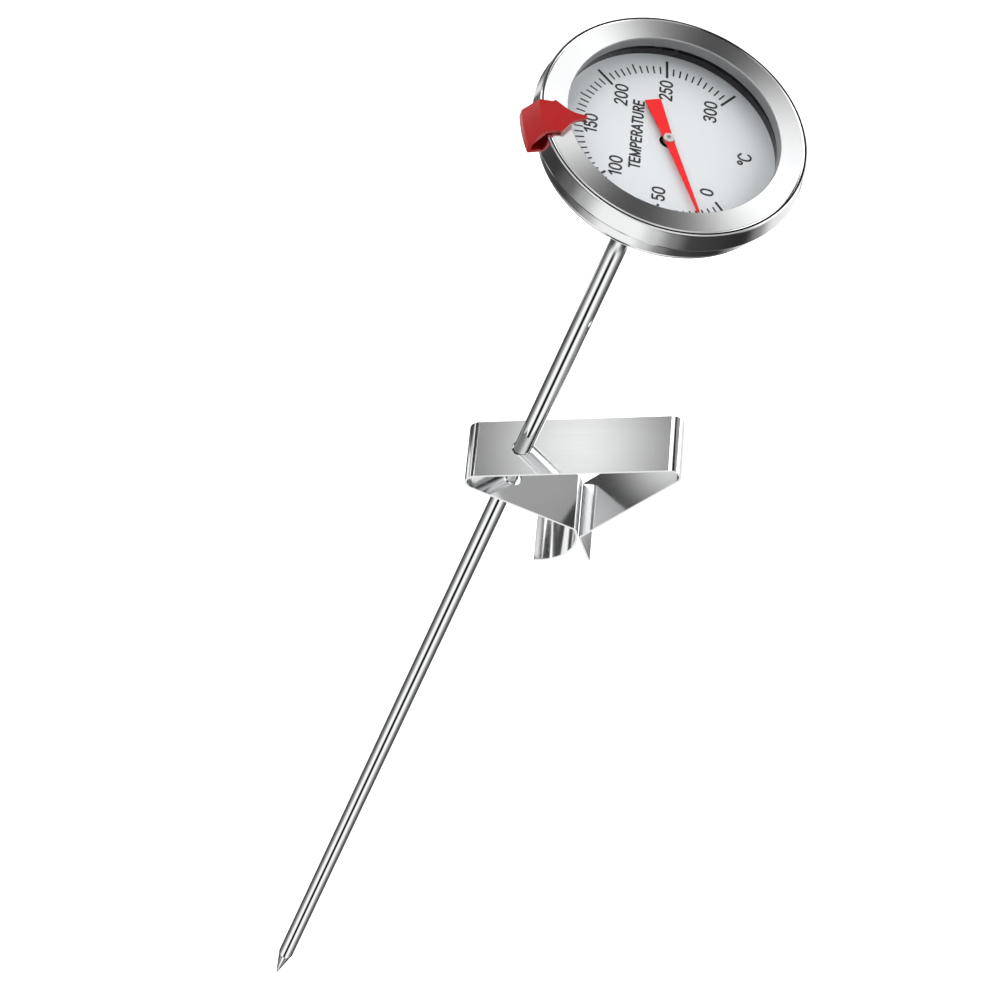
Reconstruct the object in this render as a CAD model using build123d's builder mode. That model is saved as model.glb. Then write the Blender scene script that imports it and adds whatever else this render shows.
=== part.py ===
"""Dial thermometer probe: round steel case, long pointed stem, red target marker and a sliding pan clip.

Frame: +Z runs along the stem towards the viewer of the dial, +Y is the top of the dial (the 150 mark),
and the origin is on the axis where the stem leaves the flat back of the case. Millimetres.
"""
import os
from math import cos, degrees, radians, sin, tan

from build123d import *

os.makedirs("parts", exist_ok=True)

# ---- driving dimensions -------------------------------------------------------------------
overall_length = 380.0          # bezel face to stem point
head_depth = 10.5               # case back to bezel face
sheet = 0.5                     # pressed steel of the case and bezel
touch_gap = 0.05                # between pieces that only just meet

opening_radius = 21.3           # clear opening in the bezel face
face_radius = 26.0              # groove round the flat face
groove_half = 0.15
groove_deep = 0.2
bead_radius = 26.75             # bright bead outside the groove
skirt_radius = 27.4             # lower edge of the flared skirt
skirt_depth = 4.0               # bezel face to the top of the rolled lip
collar_depth = 2.4              # turned-down inner edge of the bezel
lip_radius = 25.6               # inner edge of the rolled lip

cup_radius = 25.2
cup_corner = 1.6
flange_radius = 26.5

glass_thickness = 1.4
inner_radius = 24.4             # everything stacked inside the cup
dial_thickness = 0.5
reflector_radius = 21.9         # inside of the ring between glass and dial
seat_radius = 22.6              # inside of the ring the dial rests on
dial_hole_radius = 1.6

stem_radius = 2.0
stem_wall = 0.3
tip_length = 13.0
tip_end_radius = 0.2
plug_spigot = 4.0
ferrule_radius = 4.2
ferrule_length = 5.0
ferrule_chamfer = 1.2
spigot_radius = 3.0
nut_flats = 9.0
nut_thickness = 1.5

shaft_radius = 0.45
shaft_fit = 0.05                # running clearance of the shaft in its guides
shaft_headroom = 0.25           # shaft's end below the glass
guide_length = 5.0
guide_gap = 2.0                 # between the coupling and the lowest guide
coil_length = 48.0
coil_radius = 1.2
coil_pitch = 2.4
coil_strip = 0.24
coil_strip_width = 1.1
coil_coupling_length = 3.0

pointer_reach = 18.0
pointer_tail = 9.6
pointer_tip_width = 0.5
pointer_waist_width = 1.8       # at the shaft
pointer_tail_width = 3.4
pointer_thickness = 0.25
pointer_height = 0.75           # underside of the pointer above the dial
hub_radius = 1.05
hub_rise = 0.3                  # cap above the pointer
hub_round = 0.12

scale_top = 300
scale_sweep = 260.0             # degrees from 0 to the top of the scale
scale_step = 5
rest_reading = 20
numeral_height = 2.4            # middle line of the strokes, top to bottom
numeral_radius = 13.6
wide_numeral_inset = 0.75       # three digits read across their tick stand further in
top_numeral_radius = 15.2       # the numeral at the top stands closer to its tick
word_height = 2.05
word_rise = 6.0                 # word's middle above the dial's centre
unit_height = 2.6
unit_drop = 15.9                # unit's middle below the dial's centre
letter_stroke = 0.4
letter_squeeze = 0.84
cap_ratio = 0.68                # height of a capital over the size of its lettering
ink = 0.04
minor_tick = (16.9, 18.7, 0.3)  # inner radius, outer radius, width
middle_tick = (16.9, 19.3, 0.3)
major_tick = (16.1, 20.4, 0.5)

marker_angle = 104.0            # where the target marker sits round the rim
marker_width = 7.6
marker_sheet = 0.8
marker_lift = 0.15              # gap between marker and bezel face
marker_reach = 18.2             # radius of the marker's point
marker_point_width = 0.7
marker_shoulder_radius = 23.8
marker_waist_radius = 21.1
marker_waist_width = 2.6
marker_stand = 2.4              # outside of the marker beyond the skirt
marker_knee = 0.8               # foot of its slanted side above the rolled lip
marker_knee_rise = 0.3
marker_corner = 0.4
marker_overlap = (0.6, 0.3)     # point's root inside the folded part, along and at each side
marker_shoulder_run = (0.75, 0.65)  # direction of the flank where it leaves the shoulder
marker_nose_run = (0.98, 0.15)      # and where it meets the point

clip_drop = 112.8               # bezel face to the clip's hole
clip_tilt = 24.0                # lean of the clip across the stem
strip_thickness = 0.5
strip_width = 14.6
loop_centre = 11.0              # from the stem hole to the middle of the loop
loop_half = 27.7                # middle of the loop to a corner where band and arm would cross
arm_angle = 39.5
bend_radius = 2.3
arm_stub = 0.6                  # straight past each bend before the jaw begins
pinch_offset = -2.1             # pinch line from the middle of the loop
pinch_radius = 1.0
heel_inset = 0.05               # the rounded heel stands back from its corner
curl_drop = 1.5                 # straight below the knee before the curl
left_curl_radius = 9.9
left_curl_sweep = 97.0
right_tail_length = 9.2
right_tail_lean = 5.3
hole_fit = 0.1                  # each side of the stem in the band's hole
slot_fit = 0.3                  # each side of the stem in the jaw's slot
slot_slack = 1.0                # extra slot length that lets the jaw swing
jaw_gap = 0.02                  # seam between band and jaw

# ---- derived levels -----------------------------------------------------------------------
face_z = head_depth
lip_top = face_z - skirt_depth
flange_top = lip_top + sheet
glass_top = face_z - collar_depth - touch_gap
glass_bottom = glass_top - glass_thickness
shaft_top = glass_bottom - shaft_headroom
dial_top = shaft_top - hub_rise - pointer_thickness - pointer_height
dial_bottom = dial_top - dial_thickness
point_z = face_z - overall_length
tip_top = point_z + tip_length
tube_bore = stem_radius - stem_wall
nut_top = sheet + nut_thickness
coil_bottom = tip_top + plug_spigot
coil_top = coil_bottom + coil_length
clip_z = face_z - clip_drop


def ring(inner, outer, bottom, top):
    """Plain turned ring on the axis, added to the open part."""
    with BuildSketch(Plane.XY.offset(bottom)) as outline:
        Circle(outer)
        if inner > 0:
            Circle(inner, mode=Mode.SUBTRACT)
    extrude(outline.sketch, amount=top - bottom)


def turned(points):
    """Solid of revolution about the axis from a closed outline of (radius, height) points."""
    with BuildSketch(Plane.XZ) as outline:
        with BuildLine():
            Polyline(*points, close=True)
        make_face()
    revolve(outline.sketch, axis=Axis.Z)


def save(builder, name):
    builder.part.label = name
    export_step(builder.part, f"parts/{name}.step")


# ---- case ---------------------------------------------------------------------------------
with BuildPart() as case_back_cup:
    with BuildSketch(Plane.XZ):
        with BuildLine():
            Polyline(
                (spigot_radius, 0),
                (cup_radius, 0),
                (cup_radius, lip_top),
                (flange_radius, lip_top),
                (flange_radius, flange_top),
                (cup_radius - sheet, flange_top),
                (cup_radius - sheet, sheet),
                (spigot_radius, sheet),
                close=True,
            )
        face = make_face()
        fillet(face.vertices().sort_by_distance((cup_radius, 0, 0))[0], cup_corner)
        inner_corner = (cup_radius - sheet, 0, sheet)
        fillet(vertices().sort_by_distance(inner_corner)[0], cup_corner - sheet)
    revolve(axis=Axis.Z)
save(case_back_cup, "case_back_cup")

with BuildPart() as bezel_ring:
    turned([
        (opening_radius, face_z - collar_depth),
        (opening_radius, face_z - groove_deep),
        (opening_radius + groove_deep, face_z),
        (face_radius - groove_half, face_z),
        (face_radius, face_z - groove_deep),
        (face_radius + groove_half, face_z - groove_deep / 2),
        (bead_radius - groove_deep, face_z - groove_deep / 2),
        (bead_radius, face_z - 1.5 * groove_deep),
        (bead_radius, face_z - sheet - groove_deep),
        (skirt_radius, lip_top),
        (skirt_radius - groove_deep, lip_top - sheet),
        (lip_radius, lip_top - sheet),
        (lip_radius, lip_top),
        (skirt_radius - sheet, lip_top),
        (bead_radius - sheet, face_z - sheet - groove_deep),
        (face_radius, face_z - sheet - groove_deep),
        (face_radius - groove_half, face_z - sheet),
        (opening_radius + sheet, face_z - sheet),
        (opening_radius + sheet, face_z - collar_depth),
    ])
save(bezel_ring, "bezel_ring")

with BuildPart() as bezel_gasket:
    gasket_inner = opening_radius + sheet + 2 * touch_gap
    gasket_outer = face_radius - 2 * touch_gap
    gasket_leg = cup_radius - 2 * touch_gap
    turned([
        (gasket_inner, face_z - sheet),
        (face_radius - groove_half - touch_gap, face_z - sheet),
        (gasket_outer, face_z - sheet - groove_deep - touch_gap),
        (gasket_outer, flange_top),
        (gasket_leg, flange_top),
        (gasket_leg, glass_top),
        (gasket_inner, glass_top),
    ])
save(bezel_gasket, "bezel_gasket")

with BuildPart() as glass_lens:
    ring(0, inner_radius, glass_bottom, glass_top)
save(glass_lens, "glass_lens")

with BuildPart() as reflector_ring:
    ring(reflector_radius, inner_radius, dial_top, glass_bottom)
save(reflector_ring, "reflector_ring")

with BuildPart() as dial_seat_ring:
    ring(seat_radius, inner_radius, sheet, dial_bottom)
    outer_foot = edges().group_by(Axis.Z)[0].sort_by(SortBy.RADIUS)[-1]
    chamfer(outer_foot, cup_corner - sheet)
save(dial_seat_ring, "dial_seat_ring")

# ---- dial and its printing ----------------------------------------------------------------
with BuildPart() as dial_plate:
    ring(dial_hole_radius, inner_radius, dial_bottom, dial_top)
save(dial_plate, "dial_plate")


def reading_angle(value):
    """Angle round the dial of a reading; the middle of the scale is at the top."""
    return 90 + scale_sweep * (0.5 - value / scale_top)


def tick_marks(values, size):
    inner, outer, width = size
    for value in values:
        with Locations(Rot(0, 0, reading_angle(value)) * Pos((inner + outer) / 2, 0)):
            Rectangle(outer - inner, width)


def lettering(words, place, height):
    """Condensed bold lettering built from round-ended strokes, centred on a place on the dial."""
    strokes = Compound.make_text(words, height / cap_ratio, "singleline", single_line_width=0)
    for edge in scale(strokes, by=(letter_squeeze, 1, 1), mode=Mode.PRIVATE).edges():
        run = edge @ 1 - edge @ 0
        turn = Vector(1, 0, 0).get_signed_angle(run, Vector(0, 0, 1))
        with Locations((edge @ 0 + edge @ 1) / 2 + Vector(*place)):
            SlotCenterToCenter(run.length, letter_stroke, rotation=turn)


with BuildPart() as dial_print:
    with BuildSketch(Plane.XY.offset(dial_top)):
        major = [v for v in range(0, scale_top + 1, 50)]
        middle = [v for v in range(25, scale_top, 50)]
        minor = [v for v in range(0, scale_top + 1, scale_step) if v not in major + middle]
        tick_marks(major, major_tick)
        tick_marks(middle, middle_tick)
        tick_marks(minor, minor_tick)
        for value in major:
            angle = radians(reading_angle(value))
            inset = wide_numeral_inset * cos(angle) ** 2 if value >= 100 else 0
            radius = top_numeral_radius if value == scale_top / 2 else numeral_radius - inset
            lettering(str(value), (radius * cos(angle), radius * sin(angle)), numeral_height)
        lettering("TEMPERATURE", (0, word_rise), word_height)
        lettering("°C", (0, -unit_drop), unit_height)
    extrude(amount=ink)
save(dial_print, "dial_print")

# ---- pointer on its shaft -----------------------------------------------------------------
rest_angle = reading_angle(rest_reading)
pointer_plane = Plane.XY.offset(dial_top + pointer_height).rotated((0, 0, rest_angle))
with BuildPart() as pointer:
    with BuildSketch(pointer_plane):
        with BuildLine():
            Polyline(
                (pointer_reach, pointer_tip_width / 2),
                (0, pointer_waist_width / 2),
                (-pointer_tail, pointer_tail_width / 2),
                (-pointer_tail, -pointer_tail_width / 2),
                (0, -pointer_waist_width / 2),
                (pointer_reach, -pointer_tip_width / 2),
                close=True,
            )
        make_face()
        Circle(shaft_radius, mode=Mode.SUBTRACT)
    extrude(amount=pointer_thickness)
save(pointer, "pointer")

with BuildPart() as pointer_collet:
    collet_bottom = dial_top + 3 * ink
    ring(shaft_radius, hub_radius, collet_bottom, dial_top + pointer_height)
save(pointer_collet, "pointer_collet")

with BuildPart() as pointer_cap:
    cap_bottom = dial_top + pointer_height + pointer_thickness
    ring(shaft_radius, hub_radius, cap_bottom, shaft_top)
    fillet(edges().group_by(Axis.Z)[-1].sort_by(SortBy.RADIUS)[-1], hub_round)
save(pointer_cap, "pointer_cap")

with BuildPart() as pointer_shaft:
    ring(0, shaft_radius, coil_top, shaft_top)
save(pointer_shaft, "pointer_shaft")

with BuildPart() as coil_coupling:
    coupling_top = coil_top + coil_coupling_length
    ring(shaft_radius, coil_radius + coil_strip / 2, coil_top, coupling_top)
save(coil_coupling, "coil_coupling")

# ---- stem ---------------------------------------------------------------------------------
with BuildPart() as stem_tube:
    ring(tube_bore, stem_radius, tip_top, nut_top)
save(stem_tube, "stem_tube")

with BuildPart() as stem_point:
    turned([
        (0, point_z),
        (tip_end_radius, point_z + tip_end_radius),
        (stem_radius, tip_top),
        (tube_bore, tip_top),
        (tube_bore, tip_top + plug_spigot),
        (0, tip_top + plug_spigot),
    ])
save(stem_point, "stem_point")

with BuildPart() as stem_ferrule:
    ring(stem_radius, ferrule_radius, -ferrule_length, 0)
    ring(stem_radius, spigot_radius, 0, nut_top)
    chamfer(edges().group_by(Axis.Z)[0].sort_by(SortBy.RADIUS)[-1], ferrule_chamfer)
save(stem_ferrule, "stem_ferrule")

with BuildPart() as ferrule_nut:
    with BuildSketch(Plane.XY.offset(sheet)):
        RegularPolygon(nut_flats / 2, 6, major_radius=False)
        Circle(spigot_radius, mode=Mode.SUBTRACT)
    extrude(amount=nut_thickness)
save(ferrule_nut, "ferrule_nut")


def guide_bush(name, bottom, length):
    """Sleeve fixed in the tube that keeps the shaft central."""
    with BuildPart() as bush:
        ring(shaft_radius + shaft_fit, tube_bore, bottom, bottom + length)
    save(bush, name)


guide_bush("upper_shaft_guide", nut_top - guide_length, guide_length)
guide_bush("middle_shaft_guide", (nut_top + coil_top) / 2, guide_length)
guide_bush("lower_shaft_guide", coupling_top + guide_gap, guide_length)

with BuildPart() as bimetal_coil:
    with BuildLine():
        helix = Helix(coil_pitch, coil_length - coil_strip_width, coil_radius,
                      center=(0, 0, coil_bottom + coil_strip_width / 2))
    with BuildSketch(Plane(origin=helix @ 0, x_dir=(1, 0, 0), z_dir=helix % 0)):
        Rectangle(coil_strip, coil_strip_width)
    sweep(path=helix, is_frenet=True)
save(bimetal_coil, "bimetal_coil")

# ---- target marker ------------------------------------------------------------------------
half_turn = degrees(marker_width / 2 / bead_radius)


def radial_plane(angle):
    """Plane holding the axis, local x outwards at this angle and local y up the axis."""
    out = Vector(cos(radians(angle)), sin(radians(angle)), 0)
    return Plane(origin=(0, 0, 0), x_dir=out, z_dir=out.cross(Vector(0, 0, 1)))


marker_floor = face_z + marker_lift
marker_hook = lip_top - sheet - marker_lift
marker_outer = skirt_radius + marker_stand
marker_hook_end = cup_radius + 3 * marker_lift
with BuildPart() as target_marker:
    with BuildSketch(radial_plane(marker_angle - half_turn)):
        with BuildLine():
            Polyline(
                (marker_shoulder_radius, marker_floor),
                (bead_radius + marker_lift, marker_floor),
                (marker_outer - marker_sheet, lip_top + marker_knee),
                (marker_outer - marker_sheet, marker_hook),
                (marker_hook_end, marker_hook),
                (marker_hook_end, marker_hook - marker_sheet),
                (marker_outer - marker_corner, marker_hook - marker_sheet),
                (marker_outer, marker_hook),
                (marker_outer, lip_top + marker_knee + marker_knee_rise),
                (bead_radius + marker_lift + marker_sheet / 2, marker_floor + marker_sheet),
                (marker_shoulder_radius, marker_floor + marker_sheet),
                close=True,
            )
        make_face()
    revolve(axis=Axis.Z, revolution_arc=2 * half_turn)
    with BuildSketch(Plane.XY.offset(marker_floor).rotated((0, 0, marker_angle))):
        with BuildLine():
            shoulder = Vector(marker_shoulder_radius, marker_width / 2)
            waist = Vector(marker_waist_radius, marker_waist_width / 2)
            nose = Vector(marker_reach, marker_point_width / 2)
            root = shoulder + Vector(marker_overlap[0], -marker_overlap[1])
            runs = (-Vector(*marker_shoulder_run), -Vector(*marker_nose_run))
            flank = Spline(shoulder, waist, nose, tangents=runs)
            mirror(flank, about=Plane.XZ)
            Line(nose, Vector(nose.X, -nose.Y))
            Polyline(shoulder, root, Vector(root.X, -root.Y), Vector(shoulder.X, -shoulder.Y))
        make_face()
    extrude(amount=marker_sheet)
save(target_marker, "target_marker")

# ---- pan clip -----------------------------------------------------------------------------
# Clip frame: u along the band, n out of the band's face towards the dial, hole centre at (0, 0).
lean = radians(clip_tilt)
along = Vector(0, -cos(lean), sin(lean))
across = Vector(0, sin(lean), cos(lean))
half_strip = strip_thickness / 2
clip_side = Plane(origin=(0, 0, clip_z), x_dir=along, z_dir=along.cross(across))
slope = radians(arm_angle)
seam_run = bend_radius / tan(slope / 2) + arm_stub
left_corner = (loop_centre - loop_half, -half_strip)
right_corner = (loop_centre + loop_half, -half_strip)
pinch_u = loop_centre + pinch_offset


def arm_point(side, distance):
    """Point on an arm's middle line, measured from its corner; side is -1 left, +1 right."""
    corner = left_corner if side < 0 else right_corner
    return (corner[0] - side * distance * cos(slope), corner[1] - distance * sin(slope))


def plane_on_strip(place, angle):
    """Plane on the strip's middle surface, local x along the strip."""
    turn = radians(angle)
    run = along * cos(turn) + across * sin(turn)
    origin = Vector(0, 0, clip_z) + along * place[0] + across * place[1]
    return Plane(origin=origin, x_dir=run, z_dir=Vector(1, 0, 0).cross(run))


with BuildPart() as clip_band:
    with BuildSketch(clip_side):
        with BuildLine() as band_line:
            left_end = arm_point(-1, seam_run)
            right_end = arm_point(1, seam_run)
            FilletPolyline(left_end, left_corner, right_corner, right_end, radius=bend_radius)
        trace(line_width=strip_thickness)
    extrude(amount=strip_width / 2, both=True)
    with BuildSketch(plane_on_strip((-half_strip * tan(lean), -half_strip), 0)):
        hole_length = 2 * (stem_radius + hole_fit) / cos(lean) + strip_thickness * tan(lean)
        SlotOverall(hole_length, 2 * (stem_radius + hole_fit))
    extrude(amount=strip_thickness, both=True, mode=Mode.SUBTRACT)
save(clip_band, "clip_band")

# where the stem crosses the left arm, measured from the corner
cross_run = (left_corner[0] * cos(lean) - left_corner[1] * sin(lean)) / -cos(slope - lean)
with BuildPart() as clip_jaw_left:
    with BuildSketch(clip_side):
        with BuildLine():
            start = arm_point(-1, seam_run + jaw_gap)
            knee = arm_point(-1, (pinch_u - left_corner[0]) / cos(slope))
            curl_start = (pinch_u, knee[1] - curl_drop)
            FilletPolyline(start, knee, curl_start, radius=pinch_radius)
            curl_centre = (pinch_u - left_curl_radius, curl_start[1])
            CenterArc(curl_centre, left_curl_radius, 0, -left_curl_sweep)
        trace(line_width=strip_thickness)
    extrude(amount=strip_width / 2, both=True)
    with BuildSketch(plane_on_strip(arm_point(-1, cross_run), -arm_angle)):
        SlotOverall(2 * (stem_radius + slot_fit) + slot_slack, 2 * (stem_radius + slot_fit))
    extrude(amount=2 * strip_thickness, both=True, mode=Mode.SUBTRACT)
save(clip_jaw_left, "clip_jaw_left")

with BuildPart() as clip_jaw_right:
    with BuildSketch(clip_side):
        with BuildLine():
            start = arm_point(1, seam_run + jaw_gap)
            heel_run = right_corner[0] - pinch_u - (strip_thickness - heel_inset)
            heel = arm_point(1, heel_run / cos(slope))
            lean_out = radians(right_tail_lean)
            toe = (heel[0] + right_tail_length * sin(lean_out), heel[1] - right_tail_length * cos(lean_out))
            FilletPolyline(start, heel, toe, radius=pinch_radius)
        trace(line_width=strip_thickness)
    extrude(amount=strip_width / 2, both=True)
save(clip_jaw_right, "clip_jaw_right")
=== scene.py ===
"""Looks for the dial thermometer probe: materials, studio light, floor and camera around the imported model."""
import math

import bpy
from mathutils import Euler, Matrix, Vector


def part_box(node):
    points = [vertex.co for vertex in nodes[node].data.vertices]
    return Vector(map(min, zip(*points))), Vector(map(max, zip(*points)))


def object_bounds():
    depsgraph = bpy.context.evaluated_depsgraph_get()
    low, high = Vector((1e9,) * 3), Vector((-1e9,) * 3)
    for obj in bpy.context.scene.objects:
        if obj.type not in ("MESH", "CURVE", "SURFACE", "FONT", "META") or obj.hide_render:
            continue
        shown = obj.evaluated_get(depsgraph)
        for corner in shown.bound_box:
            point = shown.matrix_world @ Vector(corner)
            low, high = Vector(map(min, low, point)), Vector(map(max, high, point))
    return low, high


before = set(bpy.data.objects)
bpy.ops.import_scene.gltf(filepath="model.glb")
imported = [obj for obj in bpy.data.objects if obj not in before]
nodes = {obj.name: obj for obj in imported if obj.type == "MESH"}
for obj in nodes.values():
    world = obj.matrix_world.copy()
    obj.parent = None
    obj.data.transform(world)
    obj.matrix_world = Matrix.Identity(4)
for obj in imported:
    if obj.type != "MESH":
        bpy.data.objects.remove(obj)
cad_box = [list(corner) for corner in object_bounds()]

MM = 0.001
face_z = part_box("bezel_ring")[1][2]
stem_tip_z = cad_box[0][2]
clip_low, clip_high = [Vector(corner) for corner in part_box("clip_band")]
clip_middle = (clip_low + clip_high) / 2
collar_edge = 21.4 * MM        # radius where the bezel's flat face turns down into its inner wall, whose darker base colour is painted shade
bump_depth = 0.05 * MM

# ---- node helpers -------------------------------------------------------------------------


class Shader:
    """A small wrapper that adds and links the nodes of one material."""

    def __init__(self, name):
        self.material = bpy.data.materials.new(name)
        self.material.use_nodes = True
        self.tree = self.material.node_tree
        self.surface = self.tree.nodes["Principled BSDF"]

    def add(self, kind, inputs=None, **settings):
        node = self.tree.nodes.new(kind)
        for key, value in settings.items():
            setattr(node, key, value)
        for key, value in (inputs or {}).items():
            self.feed(node, key, value)
        return node

    def feed(self, node, key, value):
        """Links an input to a socket or sets it to a constant; a constant colour comes without its alpha."""
        socket = node.inputs[key]
        if isinstance(value, bpy.types.NodeSocket):
            self.tree.links.new(value, socket)
        elif socket.type == "RGBA":
            socket.default_value = (*value, 1)
        else:
            socket.default_value = value

    def set(self, **values):
        for key, value in values.items():
            self.feed(self.surface, key.replace("_", " "), value)

    def show(self, shader_socket):
        """Uses another shader in place of the principled one."""
        self.tree.links.new(shader_socket, self.tree.nodes["Material Output"].inputs["Surface"])

    def place(self):
        return self.add("ShaderNodeTexCoord").outputs["Object"]

    def stretched(self, scale):
        """Object coordinates scaled per axis, so that noise turns into grain."""
        node = self.add("ShaderNodeMapping", {"Vector": self.place(), "Scale": scale})
        return node.outputs["Vector"]

    def noise(self, vector, scale, detail=4.0):
        node = self.add("ShaderNodeTexNoise", {"Vector": vector, "Scale": scale, "Detail": detail})
        return node.outputs["Fac"]

    def span(self, value, low, high):
        """Moves a 0 to 1 value into the range from low to high."""
        node = self.add("ShaderNodeMapRange", {"Value": value, "To Min": low, "To Max": high})
        return node.outputs["Result"]

    def step(self, value, start, end):
        """0 up to start, 1 from end on."""
        node = self.add("ShaderNodeMapRange", {"Value": value, "From Min": start, "From Max": end})
        return node.outputs["Result"]

    def tint(self, value, dark, light):
        """Colour between dark and light, each of them a colour or a socket."""
        return self.add("ShaderNodeMix", {0: value, 6: dark, 7: light}, data_type="RGBA").outputs[2]

    def radius(self):
        """Distance from the object's own Z axis."""
        flat = self.add("ShaderNodeVectorMath", {0: self.place(), 1: (1, 1, 0)}, operation="MULTIPLY")
        length = self.add("ShaderNodeVectorMath", {0: flat.outputs[0]}, operation="LENGTH")
        return length.outputs["Value"]

    def bump(self, height, strength):
        node = self.add("ShaderNodeBump", {"Height": height, "Strength": strength, "Distance": bump_depth})
        self.set(Normal=node.outputs["Normal"])


def shade(shader, *names):
    for name in names:
        mesh = nodes[name].data
        mesh.materials.clear()
        mesh.materials.append(shader.material)


# ---- metals -------------------------------------------------------------------------------


def steel(name, tone, rough, grain, grain_bump, spread=0.25):
    """Metal with a soft change of tone and a grain that runs where the scale is small."""
    made = Shader(name)
    fine = made.noise(made.stretched(grain), 1.0, 3.0)
    cloud = made.noise(made.place(), 90.0, 2.0)
    darker = tuple(0.93 * c for c in tone)
    made.set(
        Metallic=1.0,
        Base_Color=made.tint(cloud, darker, tone),
        Roughness=made.span(fine, rough * (1 - spread), rough * (1 + spread)),
    )
    made.bump(fine, grain_bump)
    return made


def spun_steel(name, tone, painted_shade_tone):
    """Bezel metal: bright sides, a flat face with turned grooves, and inside the collar's edge a rougher wall
    whose dark base colour is painted shade.
    """
    made = Shader(name)
    reach = made.radius()
    grooves = made.noise(reach, 9000.0, 2.0)
    cloud = made.noise(made.place(), 60.0, 2.0)
    outside = made.step(reach, collar_edge, collar_edge + 0.1 * MM)
    metal = made.tint(cloud, tuple(0.95 * c for c in tone), tone)
    made.set(
        Metallic=1.0,
        # inside the collar's edge the base colour is darkened as painted shade; the rougher finish there is the
        # metal's own
        Base_Color=made.tint(outside, painted_shade_tone, metal),
        Roughness=made.span(outside, 0.45, 0.13),
    )
    made.bump(grooves, 0.02)
    around = made.add("ShaderNodeTangent", direction_type="RADIAL", axis="Z")
    turned = made.add("ShaderNodeBsdfPrincipled", {
        "Metallic": 1.0,
        "Base Color": metal,
        "Roughness": made.span(grooves, 0.32, 0.38),
        "Anisotropic": 0.97,
        "Anisotropic Rotation": 0.25,
        "Tangent": around.outputs["Tangent"],
    })
    height = made.add("ShaderNodeSeparateXYZ", {0: made.place()}).outputs["Z"]
    on_face = made.step(height, face_z - 0.04 * MM, face_z - 0.02 * MM)
    both = made.add("ShaderNodeMixShader", {0: on_face, 1: made.surface.outputs[0], 2: turned.outputs[0]})
    made.show(both.outputs[0])
    return made


bright = (0.80, 0.805, 0.81)
# the third colour is the bezel's inner wall, darkened as painted shade
shade(spun_steel("spun_steel", bright, (0.30, 0.305, 0.31)), "bezel_ring")
shade(steel("pressed_steel", bright, 0.13, (300, 300, 3000), 0.02), "case_back_cup", "stem_ferrule")
shade(steel("drawn_steel", (0.84, 0.845, 0.85), 0.045, (2500, 2500, 60), 0.008), "stem_tube", "stem_point")
shade(
    steel("spring_steel", (0.72, 0.725, 0.73), 0.12, (4000, 60, 60), 0.02),
    "clip_band", "clip_jaw_left", "clip_jaw_right",
)
shade(steel("satin_steel", (0.7, 0.7, 0.7), 0.3, (900, 900, 900), 0.05), "pointer_shaft")
# the near-black tone of the reflector and seat rings is painted shade for the dark band between the collar and
# the dial
shade(steel("painted_shade_ring", (0.06, 0.06, 0.065), 0.35, (200, 200, 4000), 0.03), "reflector_ring", "dial_seat_ring")
shade(
    steel("turned_brass", (0.72, 0.52, 0.22), 0.25, (300, 300, 4000), 0.04),
    "ferrule_nut", "pointer_collet", "coil_coupling",
    "upper_shaft_guide", "middle_shaft_guide", "lower_shaft_guide",
)
shade(steel("bimetal", (0.55, 0.5, 0.42), 0.35, (600, 600, 3000), 0.05), "bimetal_coil")


# ---- dial, pointer, marker, glass ---------------------------------------------------------


def enamel(name, dark, light, rough, coat=0.0, speck=1500.0, bumpiness=0.02):
    """Painted or moulded colour with a faint mottle and a slightly uneven gloss."""
    made = Shader(name)
    fine = made.noise(made.place(), speck, 3.0)
    cloud = made.noise(made.place(), speck / 12, 2.0)
    made.set(
        Base_Color=made.tint(cloud, dark, light),
        Roughness=made.span(fine, rough * 0.8, rough * 1.2),
        Coat_Weight=coat,
        Coat_Roughness=0.08,
    )
    made.bump(fine, bumpiness)
    return made


def clear_glass():
    """Plain glass: seen through, with a faint mirror image on its outer faces that grows towards the edges."""
    made = Shader("clear_glass")
    haze = made.noise(made.place(), 400.0, 3.0)
    gloss = made.add("ShaderNodeBsdfGlossy", {"Roughness": made.span(haze, 0.01, 0.04)})
    clear = made.add("ShaderNodeBsdfTransparent")
    mirror = made.add("ShaderNodeFresnel", {"IOR": 1.35})
    inner_side = made.add("ShaderNodeNewGeometry").outputs["Backfacing"]
    outer_side = made.add("ShaderNodeMath", {0: 1.0, 1: inner_side}, operation="SUBTRACT")
    share = made.add("ShaderNodeMath", {0: mirror.outputs[0], 1: outer_side.outputs[0]}, operation="MULTIPLY")
    both = made.add("ShaderNodeMixShader", {0: share.outputs[0], 1: clear.outputs[0], 2: gloss.outputs[0]})
    made.show(both.outputs[0])
    return made


shade(enamel("dial_enamel", (0.70, 0.73, 0.75), (0.725, 0.755, 0.775), 0.45, bumpiness=0.01), "dial_plate")
shade(enamel("printing_ink", (0.012, 0.012, 0.014), (0.03, 0.03, 0.033), 0.5), "dial_print")
shade(enamel("pointer_lacquer", (0.82, 0.01, 0.012), (0.90, 0.015, 0.018), 0.35, coat=0.2), "pointer")
marker_red = enamel(
    "marker_red", (0.35, 0.001, 0.002), (0.40, 0.003, 0.004), 0.3, coat=0.15, speck=500.0, bumpiness=0.01,
)
shade(marker_red, "target_marker")
shade(enamel("black_rubber", (0.01, 0.01, 0.01), (0.03, 0.03, 0.03), 0.7, bumpiness=0.1), "bezel_gasket")
shade(enamel("cap_enamel", (0.50, 0.50, 0.48), (0.62, 0.62, 0.60), 0.3), "pointer_cap")
shade(clear_glass(), "glass_lens")


# ---- where the light is -------------------------------------------------------------------

front = 164.2      # azimuth in degrees of the side that faces the camera; every heading below counts from it

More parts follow.
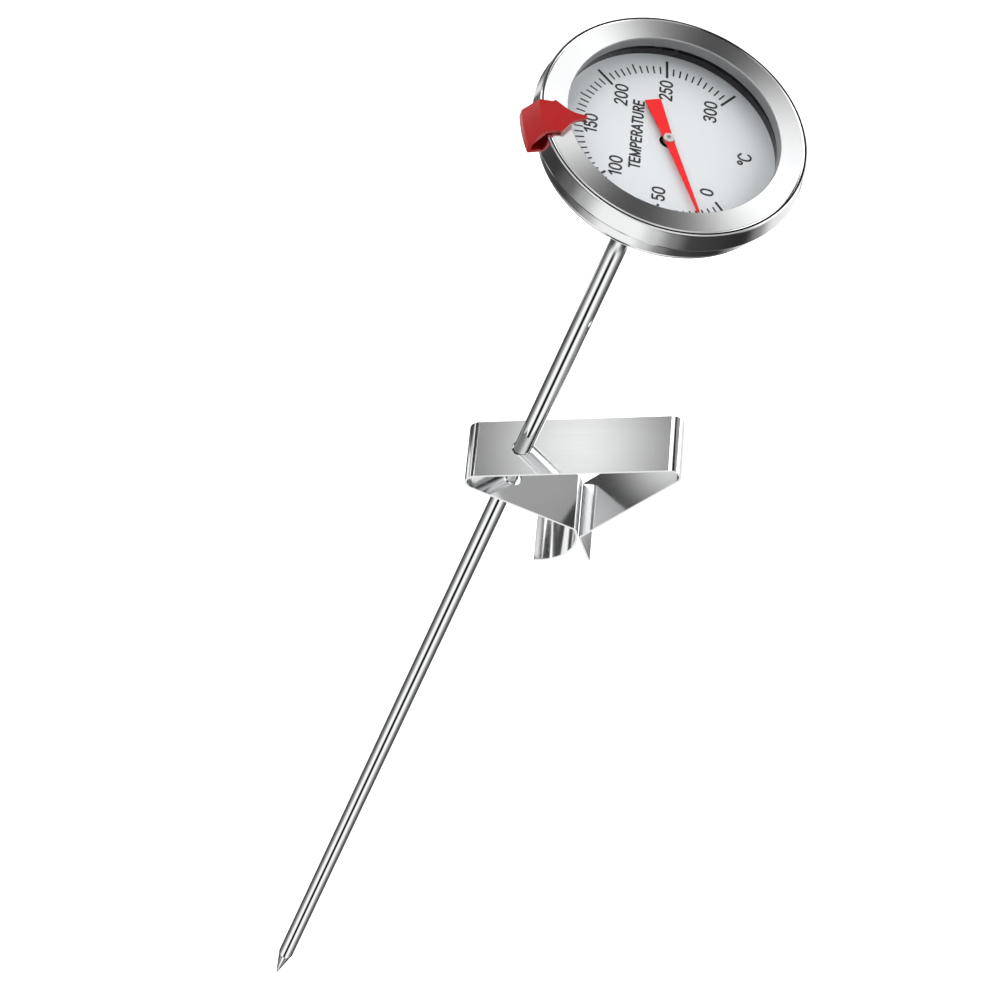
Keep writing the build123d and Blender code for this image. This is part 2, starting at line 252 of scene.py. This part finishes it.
# heading and strength of the light from below, which the rim and the case's wall mirror
low_lights = [
    (-180, 0.05), (-156, 0.12), (-142, 0.9), (-125, 0.9), (-108, 0.08), (-70, 0.05), (-50, 0.16), (-38, 0.50),
    (-20, 1.10), (8, 1.15), (20, 0.75), (34, 0.26), (48, 0.06), (92, 0.03), (104, 0.30), (120, 1.0), (156, 1.1),
    (170, 0.15),
]
# heading to either side and strength of the tube of light round the lower stem
tube_lights = [
    (0, 0.0), (11, 0.0), (20, 0.95), (30, 1.2), (46, 1.15), (60, 0.70), (76, 0.34), (92, 0.16), (108, 0.08),
    (124, 0.06), (142, 0.10), (160, 0.40), (180, 0.9),
]
strongest = 1.2    # scale of the two curves above
tube_radius = 0.2
tube_height = 0.9
tube_top_z = stem_tip_z + 0.1145
# soft round lamps above the horizon: heading, elevation, half-angles where full and where gone, strength
high_lamps = [
    (136, 36, 22, 46, 2.6),
    (-136, 36, 22, 46, 2.6),
    (65, 50, 20, 50, 0.3),
    (-50, 50, 15, 45, 0.5),
    (5, 35, 15, 50, 0.4),
]
high_fill = 0.32
# the same below it
low_lamps = [
    (-111, -15, 7, 22, 1.1),
]
flag_heading = -7  # the dark flag's plane, which the flat face of the bezel mirrors at the near and far side
# glowing cards near the clip: aim from the middle of the clip's band, direction from there to the card,
# distance, radius, strength in the middle, strength at the rim, radius where the rim's strength is reached
cards = {
    "band_card": ((0, 0.6 * MM, 2.6 * MM), (0.588, 0.462, 0.664), 0.2, 0.048, 1.3, 0.20, 0.036),
    "left_arm_card": ((0, 9.1 * MM, -11.8 * MM), (0.58, -0.55, 0.60), 0.14, 0.032, 0.48, 0.38, 0.03),
    "right_arm_card": ((0, -20.8 * MM, 6.2 * MM), (0.585, 0.75, -0.305), 0.10, 0.027, 1.15, 0.07, 0.018),
    "bend_card": ((0, 26.4 * MM, -8.8 * MM), (0.616, 0.665, 0.423), 0.10, 0.023, 0.02, 0.04, 0.02),
}


def heading(azimuth, elevation):
    """Unit vector; azimuth counts anticlockwise from the side that faces the camera."""
    a = math.radians(front + azimuth)
    e = math.radians(elevation)
    return Vector((math.cos(a) * math.cos(e), math.sin(a) * math.cos(e), math.sin(e)))


class Graph:
    """Number nodes chained by plain calls, for light that depends on direction or place."""

    def __init__(self, tree):
        self.tree = tree

    def plug(self, socket, value):
        if isinstance(value, bpy.types.NodeSocket):
            self.tree.links.new(value, socket)
        else:
            socket.default_value = value

    def math(self, operation, *values):
        node = self.tree.nodes.new("ShaderNodeMath")
        node.operation = operation
        for index, value in enumerate(values):
            self.plug(node.inputs[index], value)
        return node.outputs[0]

    def ease(self, value, start, end, low=0.0, high=1.0):
        """Smooth change from low at start to high at end."""
        node = self.tree.nodes.new("ShaderNodeMapRange")
        node.interpolation_type = "SMOOTHSTEP"
        inputs = {"Value": value, "From Min": start, "From Max": end, "To Min": low, "To Max": high}
        for key, item in inputs.items():
            self.plug(node.inputs[key], item)
        return node.outputs["Result"]

    def heading_of(self, vector):
        """Heading of a vector in half turns, from -1 to 1, and its height."""
        turned = self.tree.nodes.new("ShaderNodeVectorRotate")
        turned.rotation_type = "Z_AXIS"
        self.plug(turned.inputs["Vector"], vector)
        turned.inputs["Angle"].default_value = -math.radians(front)
        parts = self.tree.nodes.new("ShaderNodeSeparateXYZ")
        self.plug(parts.inputs[0], turned.outputs[0])
        angle = self.math("ARCTAN2", parts.outputs["Y"], parts.outputs["X"])
        return self.math("DIVIDE", angle, math.pi), parts.outputs["Z"]

    def nearness(self, toward, lamp):
        """Cosine of the angle between two directions."""
        node = self.tree.nodes.new("ShaderNodeVectorMath")
        node.operation = "DOT_PRODUCT"
        self.plug(node.inputs[0], toward)
        self.plug(node.inputs[1], lamp)
        return node.outputs["Value"]

    def curve(self, value, points, low, high):
        """Smooth curve through (degrees, strength) points; value runs from 0 at low to 1 at high."""
        node = self.tree.nodes.new("ShaderNodeValToRGB")
        ramp = node.color_ramp
        ramp.interpolation = "EASE"
        while len(ramp.elements) < len(points):
            ramp.elements.new(0.5)
        for element, (degrees, strength) in zip(ramp.elements, points):
            element.position = (degrees - low) / (high - low)
            element.color = (strength / strongest,) * 3 + (1,)
        self.plug(node.inputs[0], value)
        return self.math("MULTIPLY", node.outputs[0], strongest)

    def with_lamps(self, light, toward, lamps):
        for azimuth, elevation, full, gone, strength in lamps:
            near = self.nearness(toward, heading(azimuth, elevation))
            far_edge = math.cos(math.radians(gone))
            near_edge = math.cos(math.radians(full))
            light = self.math("ADD", light, self.ease(near, far_edge, near_edge, 0.0, strength))
        return light


# ---- stage --------------------------------------------------------------------------------


def studio():
    """World light: lamps above, lights all round below, and a dark flag that reaches overhead."""
    world = bpy.data.worlds.new("studio")
    bpy.context.scene.world = world
    world.use_nodes = True
    graph = Graph(world.node_tree)
    toward = world.node_tree.nodes.new("ShaderNodeTexCoord").outputs["Generated"]
    turn, height = graph.heading_of(toward)
    below = graph.curve(graph.math("MULTIPLY_ADD", turn, 0.5, 0.5), low_lights, -180, 180)
    below = graph.with_lamps(below, toward, low_lamps)
    above = graph.with_lamps(high_fill, toward, high_lamps)
    # the flag covers what is behind the object and near the flag's plane
    beside = graph.math("ABSOLUTE", graph.nearness(toward, heading(flag_heading + 90, 0)))
    behind = graph.ease(graph.nearness(toward, heading(flag_heading, 0)), 0.40, 0.75, 1.0, 0.0)
    flag = graph.math("MULTIPLY", behind, graph.ease(beside, 0.12, 0.38, 1.0, 0.0))
    above = graph.math("MULTIPLY", above, graph.math("SUBTRACT", 1.0, flag))
    share = graph.ease(height, -0.25, 0.02)
    rest = graph.math("SUBTRACT", 1.0, share)
    mixed = graph.math("ADD", graph.math("MULTIPLY", above, share), graph.math("MULTIPLY", below, rest))
    background = world.node_tree.nodes["Background"]
    graph.plug(background.inputs["Strength"], mixed)
    background.inputs["Color"].default_value = (1, 1, 1, 1)


def seen_only(thing, by):
    """Hides a stage object from all rays but one kind: "camera" or "glossy", the rays of mirror images."""
    for kind in ("camera", "glossy", "diffuse", "transmission", "shadow"):
        setattr(thing, "visible_" + kind, kind == by)


def floor():
    """Plain pale floor well below the stem's point."""
    bpy.ops.mesh.primitive_circle_add(vertices=96, radius=6.0, fill_type="NGON")
    plane = bpy.context.object
    plane.name = "floor"
    plane.location.z = stem_tip_z - 0.25
    pale = Shader("pale_floor")
    mottle = pale.noise(pale.place(), 3.0)
    pale.set(
        Base_Color=pale.tint(mottle, (0.93, 0.93, 0.93), (0.95, 0.95, 0.95)),
        Roughness=0.9,
        Emission_Color=(1, 1, 1),
        Emission_Strength=0.45,
    )
    plane.data.materials.append(pale.material)
    plane.visible_glossy = False


def backdrop():
    """Plain pale surround that only the camera sees, so that low views don't show the lamps."""
    bpy.ops.mesh.primitive_uv_sphere_add(segments=48, ring_count=24, radius=7.0)
    dome = bpy.context.object
    dome.name = "backdrop"
    pale = Shader("pale_backdrop")
    mottle = pale.noise(pale.place(), 0.2)
    tone = pale.tint(mottle, (0.97, 0.97, 0.97), (1.0, 1.0, 1.0))
    pale.show(pale.add("ShaderNodeEmission", {"Color": tone}).outputs[0])
    dome.data.materials.append(pale.material)
    seen_only(dome, by="camera")


def light_tube():
    """Tall lit tube round the lower stem."""
    bpy.ops.mesh.primitive_cylinder_add(
        vertices=180, radius=tube_radius, depth=tube_height, end_fill_type="NOTHING",
    )
    tube = bpy.context.object
    tube.name = "light_tube"
    tube.location.z = tube_top_z - tube_height / 2
    glow = Shader("light_tube")
    graph = Graph(glow.tree)
    turn, _ = graph.heading_of(glow.place())
    strength = graph.curve(graph.math("ABSOLUTE", turn), tube_lights, 0, 180)
    glow.set(Base_Color=(0, 0, 0), Emission_Color=(1, 1, 1), Emission_Strength=strength, Roughness=1.0)
    tube.data.materials.append(glow.material)
    seen_only(tube, by="glossy")


def card(name, aim, out, distance, radius, core, rim, fade):
    """Round glowing card whose mirror image lies on one face of the clip."""
    bpy.ops.mesh.primitive_circle_add(vertices=64, radius=radius, fill_type="NGON")
    disc = bpy.context.object
    disc.name = name
    out = Vector(out).normalized()
    disc.location = clip_middle + Vector(aim) + distance * out
    disc.rotation_euler = out.to_track_quat("Z", "Y").to_euler()
    glow = Shader(name)
    strength = Graph(glow.tree).ease(glow.radius(), 0.0, fade, core, rim)
    glow.show(glow.add("ShaderNodeEmission", {"Strength": strength}).outputs[0])
    disc.data.materials.append(glow.material)
    seen_only(disc, by="glossy")


def camera():
    """Camera to the left of and above the dial, looking down along the stem."""
    data = bpy.data.cameras.new("camera")
    data.sensor_width = 36.0
    data.lens = 125.98
    data.clip_start = 0.01
    data.clip_end = 50.0
    eye = bpy.data.objects.new("camera", data)
    eye.location = Vector((-0.43931, 0.12444, face_z + 0.48201))
    eye.rotation_euler = Euler([math.radians(angle) for angle in (33.988, -14.561, -85.049)])
    bpy.context.scene.collection.objects.link(eye)
    bpy.context.scene.camera = eye


floor()
backdrop()
studio()
light_tube()
for card_name, settings in cards.items():
    card(card_name, *settings)
camera()
bpy.context.scene.view_settings.view_transform = "Standard"
